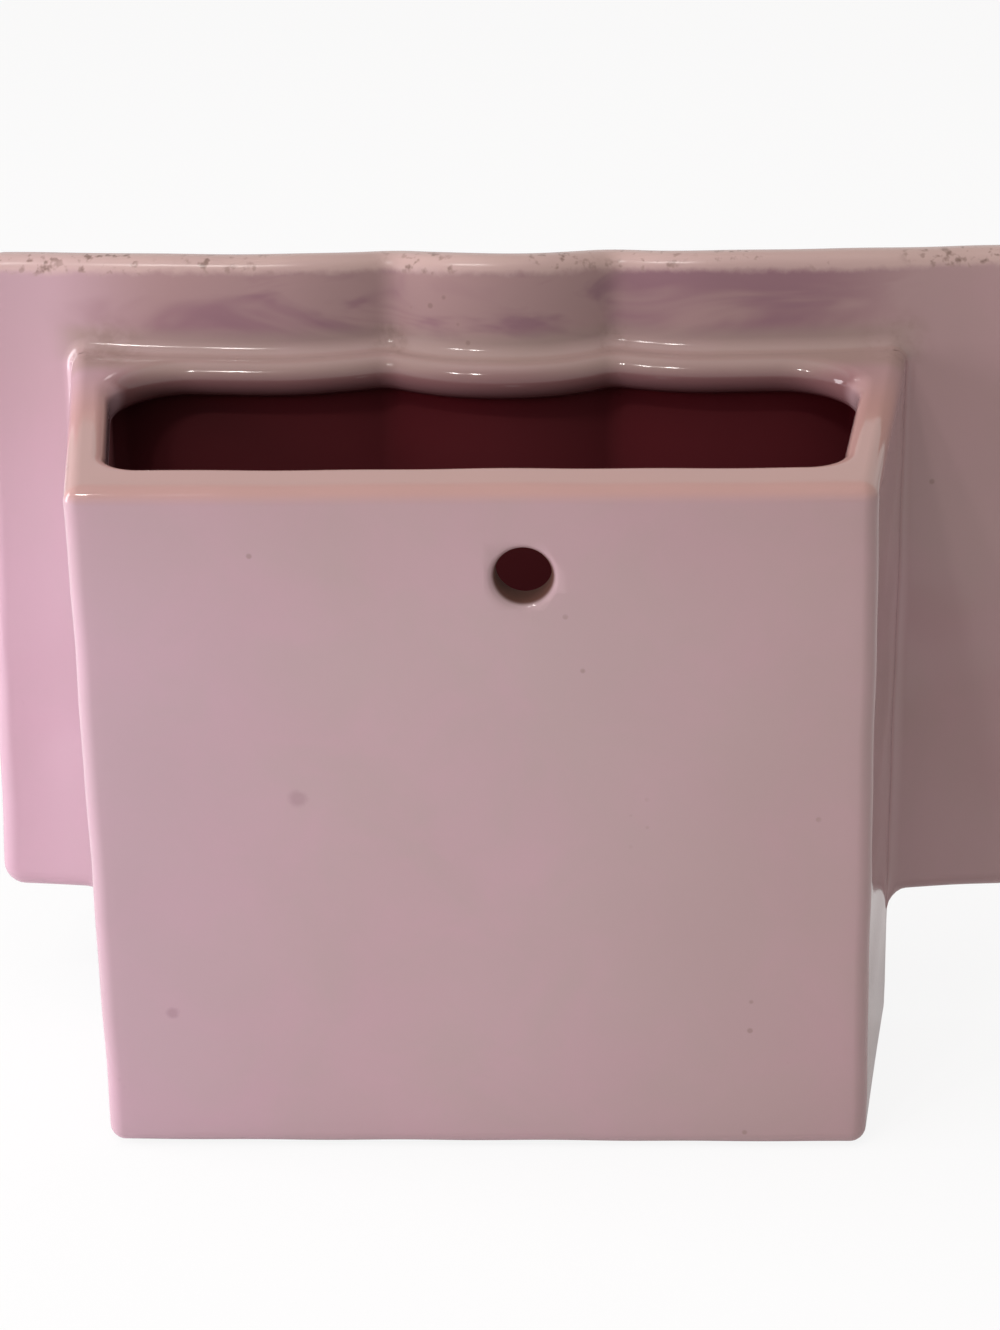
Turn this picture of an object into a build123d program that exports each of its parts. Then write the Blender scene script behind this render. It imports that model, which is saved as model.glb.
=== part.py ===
"""Hanging wall vase: a ceramic wall pocket behind a wide fluted panel.

The model stands in its own frame, in millimetres: +Z is up, +Y points into the wall that the vase hangs
on, and -Y into the room. The origin is the centre of the hanging hole, on the pocket's back face.
Left and right are those of somebody who looks at the panel from the room.
"""

import os
from math import cos, radians, sin, tan

from build123d import *

# Pocket: the box that holds the stems. Its back is upright and its sides flare towards the room
back_width = 116.0
pocket_depth = 60.0
pocket_height = 109.0
side_flare_angle = 7.1
wall_thickness = 6.0
floor_thickness = 6.0
pocket_edge_radius = 2.5

# Mouth ledge: the slab on top of the walls, with the slot for the stems and a fully rolled front lip
ledge_thickness = 6.4
ledge_edge_radius = 2.5
slot_back_margin = 9.5
slot_side_margin = 6.0
slot_lip_depth = 6.4
slot_back_corner_radius = 7.0
slot_front_corner_radius = 11.0
slot_edge_radius = 2.0
roll_step_count = 12

# Hanging hole in the back wall, off the pocket's middle as on the real piece
hole_radius = 4.1
hole_below_ledge = 7.3
hole_off_middle = 7.5

# Front panel: a plate that leans out at the top, a little off the pocket's middle. Its wings reach past the
# pocket's sides, and its stem is the part below them
panel_off_middle = 2.3
wing_reach = 17.03
panel_rise = 14.5
panel_thickness = 6.0
panel_lean_angle = 12.1
panel_rim_radius = 2.5
stem_length = 22.98
wing_notch_radius = 3.0
wing_corner_radius = 3.5
stem_foot_radius = 6.0

# Flutes of the panel's rear face, a middle lobe and one lobe on either side, measured across the panel
# and square to it. Each outer lobe's curve turns a little way past the pocket's side
crease_spacing = 35.0
crease_radius = 4.0
middle_lobe_rise = 5.2
outer_lobe_place = 34.0
outer_lobe_rise = 3.2
wing_turn_reach = 4.9
wing_tip_fall = 2.0

# Coils of clay smoothed into the corners between the pocket and the panel. The one on top of the ledge is
# pressed into a shallow groove along the ledge's end
coil_radius = 2.4
coil_groove_depth = 1.2

# One overrun serves every cut
overrun = 10.0

# Within this angle of a direction, a face counts as looking and an edge as running along it
facing_angle = 20.0

# Two things nearer to each other than this touch
closeness = 0.001

side_slope = tan(radians(side_flare_angle))
side_cosine = cos(radians(side_flare_angle))
side_sine = sin(radians(side_flare_angle))
lean_cosine = cos(radians(panel_lean_angle))
lean_sine = sin(radians(panel_lean_angle))

# Levels and datum planes
rim_level = hole_below_ledge + ledge_thickness
rim = Plane(origin=(hole_off_middle, 0, rim_level))
under_ledge = rim.offset(-ledge_thickness)
floor_top = rim.offset(floor_thickness - pocket_height)
floor_bottom = rim.offset(-pocket_height)
back_face = Plane(origin=(0, 0, 0), x_dir=(-1, 0, 0), z_dir=(0, 1, 0))
back_wall_inside = back_face.offset(-wall_thickness)
middle = Plane(origin=rim.origin, z_dir=(1, 0, 0))
panel_frame = Plane(
    origin=rim.origin - Vector(panel_off_middle, pocket_depth, 0),
    x_dir=(1, 0, 0),
    z_dir=(0, -lean_sine, lean_cosine),
)
panel_drop = pocket_height / lean_cosine
wing_drop = panel_drop - stem_length
wing_foot = panel_frame.offset(-wing_drop)
panel_length = panel_rise + panel_drop + overrun
block_reach = pocket_depth + panel_thickness + panel_rise


def side_plane(side, inset):
    """The upright plane of a flared side, inset from its outer face; it looks out of the pocket."""
    across = back_width / 2 - inset / side_cosine
    return Plane(
        origin=rim.origin + Vector(side * across, 0, 0),
        x_dir=(side * side_sine, -side_cosine, 0),
        z_dir=(side * side_cosine, side_sine, 0),
    )


def pocket_plan(side_inset, back_inset):
    """The pocket's plan, seen from above: narrow at the back and wider towards the room."""
    near = back_width / 2 + back_inset * side_slope - side_inset / side_cosine
    far = back_width / 2 + block_reach * side_slope - side_inset / side_cosine
    with BuildSketch() as plan:
        with BuildLine():
            Polyline(
                (-near, -back_inset),
                (near, -back_inset),
                (far, -block_reach),
                (-far, -block_reach),
                close=True,
            )
        make_face()
    return plan.sketch


# The fluted line of the panel's rear face, from one wing tip to the other
crease = Vector(crease_spacing / 2, 0)
crest = Vector(outer_lobe_place, outer_lobe_rise)
pocket_side = back_width / 2 + pocket_depth * side_slope
wing_tip = Vector(pocket_side + wing_reach, -wing_tip_fall)
wing_turn_share = (pocket_side + wing_turn_reach - crest.X) / (wing_tip.X - crest.X)
wing_turn = crest + (wing_tip - crest) * wing_turn_share
with BuildLine() as rear_line:
    middle_lobe = ThreePointArc((-crease.X, 0), (0, middle_lobe_rise), crease)
    outer_lobe = TangentArc(crest, crease, tangent=(-1, 0))
    swell = TangentArc(crest, wing_turn, tangent=(1, 0))
    sweep_out = TangentArc(wing_turn, wing_tip, tangent=swell % 1)
    mirror([outer_lobe, swell, sweep_out], about=Plane.YZ)
    fillet(rear_line.vertices().sort_by(lambda v: abs(abs(v.X) - crease.X))[:2], crease_radius)


def through_plate(arc, share):
    """The point on the plate's other face, square across from a share of one rear arc."""
    across = (arc % share).rotate(Axis.Z, 90)
    if across.Y > 0:
        across = -across
    return arc @ share + across * panel_thickness


# The plate's section: every arc of the rear line is carried square across to the room side
with BuildSketch() as plate_section:
    with BuildLine():
        add(rear_line.line)
        for arc in rear_line.edges():
            ThreePointArc(*[through_plate(arc, share) for share in (0, 0.5, 1)])
        for side in (-1, 1):
            tip = Vector(side * wing_tip.X, wing_tip.Y)
            Line(tip, tip - Vector(0, panel_thickness))
    make_face()


def beside_fluted_line(shift, reach):
    """The plan region between the fluted line, moved by shift, and a straight line at reach."""
    end_level = wing_tip.Y + shift
    with BuildSketch() as region:
        with BuildLine():
            add(rear_line.line.moved(Location((0, shift))))
            Polyline(
                (wing_tip.X, end_level),
                (wing_tip.X, reach),
                (-wing_tip.X, reach),
                (-wing_tip.X, end_level),
            )
        make_face()
    return region.sketch


# The pocket's outer form, still solid and reaching past the panel
with BuildPart() as sharp_block:
    with BuildSketch(rim):
        add(pocket_plan(0, 0))
    extrude(amount=-pocket_height)

# The same with its rounded edges; every slab is parted from it
with BuildPart() as pocket_block:
    add(sharp_block.part)
    fillet(pocket_block.edges().filter_by(Axis.Z).group_by(Axis.Y)[-1], pocket_edge_radius)
    foot_edges = pocket_block.edges().group_by(Axis.Z)[0].sort_by(Axis.Y)
    fillet(foot_edges[1:], pocket_edge_radius)
    top_edges = pocket_block.edges().group_by(Axis.Z)[-1].sort_by(Axis.Y)
    fillet(top_edges[1:], ledge_edge_radius)

# Everything on the room side of the panel's rear face
with BuildPart() as room_side:
    with BuildSketch(panel_frame.offset(panel_rise + overrun)):
        add(beside_fluted_line(0, -block_reach))
    extrude(amount=-(panel_length + overrun))

# Everything under the wings and outside the pocket
with BuildPart() as wing_notch:
    with BuildSketch(wing_foot):
        Rectangle(2 * (wing_tip.X + overrun), pocket_depth)
    extrude(amount=-panel_length)
    add(sharp_block.part, mode=Mode.SUBTRACT)

# The pocket with its hollow, ending on the panel's rear face
with BuildPart() as hollow_pocket:
    add(pocket_block.part)
    with BuildSketch(under_ledge):
        add(pocket_plan(wall_thickness, wall_thickness))
    extrude(amount=-(pocket_height - ledge_thickness - floor_thickness), mode=Mode.SUBTRACT)
    add(room_side.part, mode=Mode.SUBTRACT)


def local_level(shape):
    """How high a shape's centre lies above the rim, measured along the leaning panel."""
    return panel_frame.to_local_coords(shape.center()).Z


def runs_along(edge, direction):
    """Whether an edge runs roughly along a direction."""
    return abs((edge % 0.5).dot(direction)) > cos(radians(facing_angle))


def outline_edges(part, direction):
    """The edges round a part's faces that look roughly along a direction."""
    faces = part.faces().filter_by(lambda face: face.normal_at().dot(direction) > cos(radians(facing_angle)))
    edges = [edge for face in faces for edge in face.edges()]
    return ShapeList(edge for edge in edges if edges.count(edge) == 1)


def plate_corners(part, level):
    """A plate's edges at a level that run from its rear face to its room face, the inner ones first."""
    through = part.edges().filter_by(lambda edge: runs_along(edge, panel_frame.y_dir))
    at_level = through.group_by(lambda edge: abs(local_level(edge) - level))[0]
    return at_level.sort_by(lambda edge: abs(edge.center().X - hole_off_middle))


# The panel: the fluted plate with rounded wings, whose middle goes on down as the pocket's front wall
with BuildPart() as front_panel:
    with BuildSketch(panel_frame.offset(panel_rise)):
        add(plate_section.sketch)
    extrude(amount=-panel_length)
    split(bisect_by=floor_bottom, keep=Keep.TOP)
    fillet(outline_edges(front_panel, -panel_frame.y_dir).group_by(Axis.Z)[0], stem_foot_radius)
    add(wing_notch.part, mode=Mode.SUBTRACT)
    fillet(plate_corners(front_panel, panel_rise), wing_corner_radius)
    fillet(plate_corners(front_panel, -wing_drop)[2:], wing_corner_radius)
    rear_edges = outline_edges(front_panel, panel_frame.y_dir)
    rim_foot = -wing_drop - panel_rim_radius
    fillet(rear_edges.filter_by(lambda edge: local_level(edge) > rim_foot), panel_rim_radius)
    fillet(plate_corners(front_panel, -wing_drop)[:2], wing_notch_radius)
    room_edges = outline_edges(front_panel, -panel_frame.y_dir)
    stem_foot = floor_bottom.offset(stem_foot_radius).origin.Z
    fillet(room_edges.filter_by(lambda edge: edge.center().Z > stem_foot), panel_rim_radius)


def draw_back(level, radius):
    """How far an edge rolled to a radius stands back at a level below the ledge's top."""
    from_face = min(level, ledge_thickness - level)
    return radius - (radius ** 2 - max(radius - from_face, 0) ** 2) ** 0.5


def slot_outline(level):
    """The slot's plan at a level below the ledge's top."""
    edge_shift = draw_back(level, slot_edge_radius)
    lip_shift = slot_lip_depth - draw_back(level, ledge_thickness / 2) - pocket_depth
    with BuildSketch() as outline:
        add(pocket_plan(slot_side_margin - edge_shift, slot_back_margin - edge_shift))
        lip_side = beside_fluted_line(lip_shift, overrun).moved(Location((-panel_off_middle, 0)))
        add(lip_side, mode=Mode.INTERSECT)
        fillet(outline.vertices().sort_by(Axis.Y)[-2:], slot_back_corner_radius)
        far_first = outline.vertices().sort_by(lambda corner: corner.Y - abs(corner.X))
        fillet(far_first[:2], slot_front_corner_radius)
    return outline.sketch


# The slot through the ledge, drawn level by level so that its lip rolls from the ledge's top to its underside
with BuildPart() as slot_cut:
    for step in range(roll_step_count + 1):
        roll_angle = 180 * step / roll_step_count
        level = ledge_thickness / 2 * (1 - cos(radians(roll_angle)))
        with BuildSketch(rim.offset(-level)):
            add(slot_outline(level))
    loft()

# The groove along the ledge's top, beside the panel
with BuildPart() as coil_groove:
    with BuildSketch(panel_frame.offset(panel_rise + overrun)):
        add(beside_fluted_line(coil_groove_depth, -block_reach))
    extrude(amount=-(panel_length + overrun))
    split(bisect_by=rim.offset(-coil_groove_depth), keep=Keep.TOP)

with BuildPart() as mouth_ledge:
    add(hollow_pocket.part)
    split(bisect_by=under_ledge, keep=Keep.TOP)
    add(slot_cut.part, mode=Mode.SUBTRACT)
    add(coil_groove.part, mode=Mode.SUBTRACT)

with BuildPart() as back_wall:
    add(hollow_pocket.part)
    split(bisect_by=under_ledge, keep=Keep.BOTTOM)
    split(bisect_by=back_wall_inside, keep=Keep.TOP)
    with Locations(back_face):
        Hole(hole_radius, wall_thickness)

with BuildPart() as left_wall:
    add(hollow_pocket.part)
    split(bisect_by=under_ledge, keep=Keep.BOTTOM)
    split(bisect_by=back_wall_inside, keep=Keep.BOTTOM)
    split(bisect_by=side_plane(-1, wall_thickness), keep=Keep.TOP)

with BuildPart() as right_wall:
    add(hollow_pocket.part)
    split(bisect_by=under_ledge, keep=Keep.BOTTOM)
    split(bisect_by=back_wall_inside, keep=Keep.BOTTOM)
    split(bisect_by=side_plane(1, wall_thickness), keep=Keep.TOP)

with BuildPart() as pocket_floor:
    add(hollow_pocket.part)
    split(bisect_by=floor_top, keep=Keep.BOTTOM)
    split(bisect_by=back_wall_inside, keep=Keep.BOTTOM)
    for side in (-1, 1):
        split(bisect_by=side_plane(side, wall_thickness), keep=Keep.BOTTOM)

# The plain plate, as far down as the joint coils run
coil_foot = wing_foot.offset(panel_rim_radius)
with BuildPart() as plain_plate:
    with BuildSketch(panel_frame.offset(panel_rise)):
        add(plate_section.sketch)
    extrude(amount=-panel_length)
    split(bisect_by=coil_foot, keep=Keep.TOP)

# The pocket's outer form with the groove in it
with BuildPart() as grooved_block:
    add(pocket_block.part)
    add(coil_groove.part, mode=Mode.SUBTRACT)

# The clay in the inner corners between the pocket and the plate, in one piece
with BuildPart() as corner_clay:
    add(pocket_block.part)
    add(room_side.part, mode=Mode.SUBTRACT)
    split(bisect_by=coil_foot, keep=Keep.TOP)
    add(plain_plate.part)
    clay_edges = corner_clay.edges()
    on_plate = clay_edges.filter_by(lambda e: plain_plate.part.distance_to(e @ 0.5) < closeness)
    inner_corners = on_plate.filter_by(lambda e: pocket_block.part.distance_to(e @ 0.5) < closeness)
    fillet(inner_corners, coil_radius)
    add(plain_plate.part, mode=Mode.SUBTRACT)
    add(grooved_block.part, mode=Mode.SUBTRACT)

with BuildPart() as ledge_joint_coil:
    add(corner_clay.part)
    split(bisect_by=under_ledge, keep=Keep.TOP)

with BuildPart() as left_joint_coil:
    add(corner_clay.part)
    split(bisect_by=under_ledge, keep=Keep.BOTTOM)
    split(bisect_by=middle, keep=Keep.BOTTOM)

with BuildPart() as right_joint_coil:
    add(corner_clay.part)
    split(bisect_by=under_ledge, keep=Keep.BOTTOM)
    split(bisect_by=middle, keep=Keep.TOP)

front_panel.part.label = "front_panel"
back_wall.part.label = "back_wall"
left_wall.part.label = "left_wall"
right_wall.part.label = "right_wall"
pocket_floor.part.label = "pocket_floor"
mouth_ledge.part.label = "mouth_ledge"
ledge_joint_coil.part.label = "ledge_joint_coil"
left_joint_coil.part.label = "left_joint_coil"
right_joint_coil.part.label = "right_joint_coil"

os.makedirs("parts", exist_ok=True)
export_step(front_panel.part, "parts/front_panel.step")
export_step(back_wall.part, "parts/back_wall.step")
export_step(left_wall.part, "parts/left_wall.step")
export_step(right_wall.part, "parts/right_wall.step")
export_step(pocket_floor.part, "parts/pocket_floor.step")
export_step(mouth_ledge.part, "parts/mouth_ledge.step")
export_step(ledge_joint_coil.part, "parts/ledge_joint_coil.step")
export_step(left_joint_coil.part, "parts/left_joint_coil.step")
export_step(right_joint_coil.part, "parts/right_joint_coil.step")
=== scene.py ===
from math import acos, atan2, cos, hypot, pi, radians, sin, sqrt, tan

import bmesh
import bpy
from bpy.props import FloatProperty, FloatVectorProperty, PointerProperty
from mathutils import Matrix, Vector


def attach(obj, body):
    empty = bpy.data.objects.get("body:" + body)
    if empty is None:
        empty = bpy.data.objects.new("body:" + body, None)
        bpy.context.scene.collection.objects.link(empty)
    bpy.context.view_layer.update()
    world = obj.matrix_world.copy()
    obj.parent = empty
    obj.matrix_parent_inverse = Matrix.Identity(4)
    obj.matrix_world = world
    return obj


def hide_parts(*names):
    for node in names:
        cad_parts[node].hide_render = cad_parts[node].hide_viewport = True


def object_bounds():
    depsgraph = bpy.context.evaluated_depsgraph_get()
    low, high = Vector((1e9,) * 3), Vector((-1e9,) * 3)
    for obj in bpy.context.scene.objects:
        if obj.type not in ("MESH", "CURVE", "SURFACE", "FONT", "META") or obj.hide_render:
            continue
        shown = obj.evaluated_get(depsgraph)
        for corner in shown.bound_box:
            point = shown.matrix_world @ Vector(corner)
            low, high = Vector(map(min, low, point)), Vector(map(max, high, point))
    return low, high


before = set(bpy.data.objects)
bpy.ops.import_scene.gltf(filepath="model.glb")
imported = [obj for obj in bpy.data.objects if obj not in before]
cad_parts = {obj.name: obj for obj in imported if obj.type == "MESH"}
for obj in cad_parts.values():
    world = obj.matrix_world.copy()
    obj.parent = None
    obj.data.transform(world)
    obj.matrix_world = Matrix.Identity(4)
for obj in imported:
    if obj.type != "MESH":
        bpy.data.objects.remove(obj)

bl_info = {
    "name": "Hanging wall vase",
    "version": (1, 0, 0),
    "blender": (4, 5, 0),
    "location": "View3D > Sidebar > Wall vase",
    "description": "Models and glazes a ceramic wall pocket behind a fluted panel",
    "category": "Object",
}

cad_box = [list(corner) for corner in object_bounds()]


def length(name, description, default):
    """A length that a user can change, in metres."""
    return FloatProperty(name=name, description=description, default=default, unit="LENGTH",
                         subtype="DISTANCE")


def angle(name, description, default):
    """An angle that a user can change, given in degrees."""
    return FloatProperty(name=name, description=description, default=radians(default), unit="ROTATION",
                         subtype="ANGLE")


def colour(name, description, default):
    """A colour that a user can change."""
    return FloatVectorProperty(name=name, description=description, default=default, size=3, subtype="COLOR",
                               min=0.0, max=1.0)


class PocketSizes(bpy.types.PropertyGroup):
    """Sizes of the pocket behind the panel."""

    middle: length("Middle", "How far the pocket's middle lies beside the hanging hole", 0.0075)
    rim_level: length("Rim level", "Height of the ledge's top over the hanging hole's centre", 0.0137)
    back_width: length("Back width", "Width of the pocket's back", 0.116)
    depth: length("Depth", "Depth of the pocket at the ledge's top", 0.060)
    height: length("Height", "Height of the pocket", 0.109)
    flare: angle("Flare", "How far the sides lean out towards the room", 7.1)
    wall: length("Wall", "Thickness of the walls and the floor", 0.006)
    edge: length("Edge", "Radius of the pocket's outer edges", 0.0025)
    inner_edge: length("Inner edge", "Radius of the hollow's corners", 0.002)
    ledge: length("Ledge", "Thickness of the ledge on top", 0.0058)
    slot_back: length("Slot back margin", "Ledge behind the slot", 0.0095)
    slot_side: length("Slot side margin", "Ledge beside the slot", 0.006)
    lip_depth: length("Lip depth", "Ledge between the slot and the panel", 0.0058)
    slot_back_corner: length("Slot back corner", "Radius of the slot's two back corners", 0.007)
    slot_front_corner: length("Slot front corner", "Radius of the slot's two front corners", 0.011)
    slot_edge: length("Slot edge", "Radius of the slot's back and side edges", 0.002)
    hole: length("Hanging hole", "Radius of the hanging hole", 0.0041)
    hole_edge: length("Hole edge", "How far the glaze softens the hanging hole's edge", 0.0007)


class PanelSizes(bpy.types.PropertyGroup):
    """Sizes of the fluted panel."""

    off_middle: length("Off the middle", "How far the panel's middle lies beside the pocket's", 0.0023)
    wing_reach: length("Wing reach", "How far a wing stands out past the pocket's side", 0.01703)
    rise: length("Rise", "How far the panel stands up over the ledge", 0.0145)
    thickness: length("Thickness", "Thickness of the panel", 0.006)
    lean: angle("Lean", "How far the panel's top leans out into the room", 12.1)
    rim: length("Rim radius", "Radius of the panel's rims", 0.0025)
    foot: length("Foot radius", "Radius of the stem's foot towards the room", 0.0058)
    stem_length: length("Stem length", "Length of the panel below its wings", 0.02298)
    wing_corner: length("Wing corner", "Radius of the wings' corners", 0.0035)
    notch: length("Notch", "Radius of the corners between the wings and the stem", 0.003)
    crease_spacing: length("Crease spacing", "Distance between the two creases", 0.035)
    crease_radius: length("Crease radius", "Radius at the bottom of a crease", 0.004)
    middle_rise: length("Middle lobe rise", "How far the middle lobe swells", 0.0052)
    crest_place: length("Outer lobe place", "Distance from the middle to an outer lobe's crest", 0.034)
    crest_rise: length("Outer lobe rise", "How far an outer lobe swells", 0.0032)
    turn_reach: length("Turn reach", "How far past the pocket's side the wing's curve turns", 0.0049)
    tip_fall: length("Tip fall", "How far the wing's tip falls back", 0.002)
    cove: length("Cove", "Radius of the clay smoothed into the corners behind the panel", 0.0024)
    cove_fade: length("Cove fade", "Length over which a cove runs out at its foot", 0.006)
    hand: length("Hand", "How far the cast clay strays from its true form", 0.0001)


class GlazeColours(bpy.types.PropertyGroup):
    """Colours of the glaze and of the fired clay, and of the light and shade painted on it."""

    pink: colour("Pink", "Glaze where it lies thick", (0.490, 0.325, 0.355))
    grey: colour("Grey pink", "Glaze where it runs thin over the walls", (0.440, 0.330, 0.325))
    # Painted light: the lilac stands for the cool light that falls on the wing on the left from behind.
    lilac_light: colour("Lilac", "Glaze towards the wing on the left from behind", (0.540, 0.345, 0.445))
    # Painted shade: the mauve stands for the shade above the ledge and towards the wing on the right from
    # behind.
    mauve_shade: colour("Mauve", "Glaze above the ledge and towards the other wing", (0.340, 0.205, 0.195))
    # Partly painted shade: dark clouds that deepen the shade above the ledge; the smudges take the same
    # colour.
    cloud_and_shade: colour("Cloud", "Darker clouds in the glaze above the ledge", (0.245, 0.120, 0.150))
    pale: colour("Pale rim", "Thin glaze over the rims", (0.540, 0.390, 0.350))
    tan: colour("Tan", "Thin warm glaze on the ledge", (0.480, 0.275, 0.235))
    # Painted shade: the dark on the lip's roll in front of the slot, where light falls off into the hollow.
    lip_shade: colour("Dusk", "Darker glaze that runs down over the lip", (0.215, 0.100, 0.102))
    sand: colour("Sand", "Brownish glaze pooled in the coves", (0.330, 0.235, 0.205))
    # Painted shade: the maroon stands for the shade deep inside the pocket.
    hollow_shade: colour("Maroon", "Glaze deep inside the pocket", (0.085, 0.003, 0.007))
    stain: colour("Stain", "Brown stains and specks", (0.150, 0.085, 0.062))
    ochre: colour("Ochre", "Bare clay inside the hanging hole", (0.072, 0.019, 0.005))


def slide(start, end, share):
    """The value a share of the way from start to end."""
    return start + (end - start) * share


def shares(count):
    """Even shares from 0 to 1, with count steps between them."""
    return [step / count for step in range(count + 1)]


def eased(share):
    """A share that starts and ends gently, kept between 0 and 1."""
    share = max(0, min(1, share))
    return share * share * (3 - 2 * share)


class Arc:
    """An arc of the fluted line: its centre, its radius, and the side that it bulges to."""

    def __init__(self, centre, radius, bulge):
        self.centre = centre
        self.radius = radius
        self.bulge = bulge

    def height(self, across):
        return self.centre.y + self.bulge * sqrt(self.radius ** 2 - (across - self.centre.x) ** 2)


def crown(crest, foot):
    """The arc that lies level at its crest and runs on to its foot."""
    across, fall = abs(foot.x - crest.x), crest.y - foot.y
    radius = (across ** 2 + fall ** 2) / (2 * fall)
    return Arc(crest - Vector((0, radius)), radius, 1)


class VaseForm:
    """The vase's surfaces, worked out from its sizes: where each place on them lies."""

    slope_step = 0.00005
    # How often a place that depends on itself is worked out again, until it settles.
    rounds = 6
    # The waver of cast clay along each axis, as waves: their radians to the centimetre along X, Y and Z,
    # where they start, and their share of the whole.
    centimetres_in_a_metre = 100
    hand_waves = (
        (((0, 0.9, 1.7), 0.4, 0.6), ((-0.7, 0, 3.6), 1.1, 0.4)),
        (((1.3, 0, 0.8), 2.0, 0.5), ((2.4, 0, -1.9), 0.3, 0.3), ((0.6, 0, 3.1), 0, 0.2)),
        (((1.1, -0.8, 0), 0.9, 0.6), ((2.9, 1.7, 0), 2.2, 0.4)),
    )

    def __init__(self, scene):
        self.pocket = pocket = scene.pocket_sizes
        self.panel = panel = scene.panel_sizes
        self.flare_slope = tan(pocket.flare)
        self.lean_sine, self.lean_cosine = sin(panel.lean), cos(panel.lean)
        self.floor_level = pocket.rim_level - pocket.height
        self.panel_drop = pocket.height / self.lean_cosine
        self.wing_level = panel.stem_length - self.panel_drop

        crease = Vector((panel.crease_spacing / 2, 0))
        crest = Vector((panel.crest_place, panel.crest_rise))
        side = pocket.back_width / 2 + pocket.depth * self.flare_slope
        self.tip = Vector((side + panel.wing_reach, -panel.tip_fall))
        turn_share = (side + panel.turn_reach - crest.x) / (self.tip.x - crest.x)
        self.turn = crest.lerp(self.tip, turn_share)
        self.middle_lobe = crown(Vector((0, panel.middle_rise)), crease)
        self.outer_lobe = crown(crest, crease)
        self.swell = crown(crest, self.turn)
        upward = (self.turn - self.swell.centre) / self.swell.radius
        reach = self.tip - self.turn
        sweep_radius = reach.length_squared / (2 * reach.dot(upward))
        self.sweep = Arc(self.turn + upward * sweep_radius, sweep_radius, -1)

        near = self.middle_lobe.radius + panel.crease_radius
        far = self.outer_lobe.radius + panel.crease_radius
        between = self.outer_lobe.centre - self.middle_lobe.centre
        along = (between.length_squared + near ** 2 - far ** 2) / (2 * between.length)
        beside = sqrt(near ** 2 - along ** 2)
        unit = between.normalized()
        valley = self.middle_lobe.centre + unit * along + Vector((-unit.y, unit.x)) * beside
        self.valley = Arc(valley, panel.crease_radius, -1)
        self.valley_start = slide(self.middle_lobe.centre, valley, self.middle_lobe.radius / near).x
        self.valley_end = slide(self.outer_lobe.centre, valley, self.outer_lobe.radius / far).x

    def flute(self, across):
        """How far the panel's rear face swells at a distance across from the panel's middle."""
        across = abs(across)
        if across < self.valley_start:
            return self.middle_lobe.height(across)
        if across < self.valley_end:
            return self.valley.height(across)
        if across < self.panel.crest_place:
            return self.outer_lobe.height(across)
        if across < self.turn.x:
            return self.swell.height(across)
        return self.sweep.height(min(across, self.tip.x))

    def flute_slope(self, across):
        """How steeply the fluted line climbs."""
        step = self.slope_step
        return (self.flute(across + step) - self.flute(across - step)) / (2 * step)

    def on_panel(self, across, level, under=0.0):
        """A place in the panel: across, along its lean, and so far under its rear face."""
        slope = self.flute_slope(across)
        stretch = hypot(1, slope)
        out = self.flute(across) - under / stretch
        return Vector((
            self.pocket.middle - self.panel.off_middle + across + under * slope / stretch,
            -self.pocket.depth + out * self.lean_cosine - level * self.lean_sine,
            self.pocket.rim_level + out * self.lean_sine + level * self.lean_cosine,
        ))

    def panel_normal(self, across):
        """The direction that the panel's rear face looks in."""
        return Vector((-self.flute_slope(across), self.lean_cosine, self.lean_sine)).normalized()

    def side_at(self, depth):
        """Half the pocket's width at a depth in front of its back."""
        return self.pocket.back_width / 2 + depth * self.flare_slope

    def stem_side(self, side, level, under=0.0):
        """How far from the panel's middle the pocket's plane on one side cuts the panel."""
        across = self.side_at(self.pocket.depth) + side * self.panel.off_middle
        for attempt in range(self.rounds):
            place = self.on_panel(side * across, level, under)
            across += self.side_at(-place.y) - side * (place.x - self.pocket.middle)
        return across

    def level_at(self, across, height, under=0.0):
        """The level along the lean at which the panel reaches a height."""
        level = 0.0
        for attempt in range(self.rounds):
            level += (height - self.on_panel(across, level, under).z) / self.lean_cosine
        return level

    def front_line(self, beside, height):
        """Where the panel's rear face stands, beside the pocket's middle and at a height."""
        drop = height - self.pocket.rim_level
        swell = self.flute(beside + self.panel.off_middle)
        return -self.pocket.depth - drop * self.lean_sine / self.lean_cosine + swell / self.lean_cosine

    def tucked(self, place):
        """A place on the panel, drawn in at the foot, where the pocket's rounded lower edge runs on."""
        edge = self.pocket.edge
        over = max(place.z - self.floor_level, 0)
        if over >= edge:
            return place
        reach = self.side_at(-place.y) - edge + sqrt(edge ** 2 - (edge - over) ** 2)
        beside = place.x - self.pocket.middle
        return Vector((self.pocket.middle + max(-reach, min(reach, beside)), place.y, place.z))

    def by_hand(self, place):
        """A place on the true form, moved as the cast and fired clay strays from it."""
        hand = self.panel.hand
        low, high = (Vector(corner) for corner in cad_box)
        centre, half = (low + high) / 2, (high - low) / 2
        spot = place * self.centimetres_in_a_metre
        stray = Vector([sum(sin(spot.dot(Vector(along)) + start) * share for along, start, share in waves)
                        for waves in self.hand_waves])
        kept = place - centre
        for axis in range(3):
            kept[axis] *= 1 - hand / half[axis]
        return centre + kept + stray * hand


def half_turn_between(one, other):
    """Half the angle between two directions."""
    return acos(max(-1, min(1, one.dot(other)))) / 2


def round_corner(before, corner, after, radius, count):
    """Places on the arc that rounds a corner between two straight runs."""
    to_before, to_after = (before - corner).normalized(), (after - corner).normalized()
    half_angle = half_turn_between(to_before, to_after)
    reach = radius / tan(half_angle)
    centre = corner + (to_before + to_after).normalized() * radius / sin(half_angle)
    start = corner + to_before * reach - centre
    end = corner + to_after * reach - centre
    first = atan2(start.y, start.x)
    swing = (atan2(end.y, end.x) - first + pi) % (2 * pi) - pi
    return [centre + radius * Vector((cos(first + swing * share), sin(first + swing * share)))
            for share in shares(count)]


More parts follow.
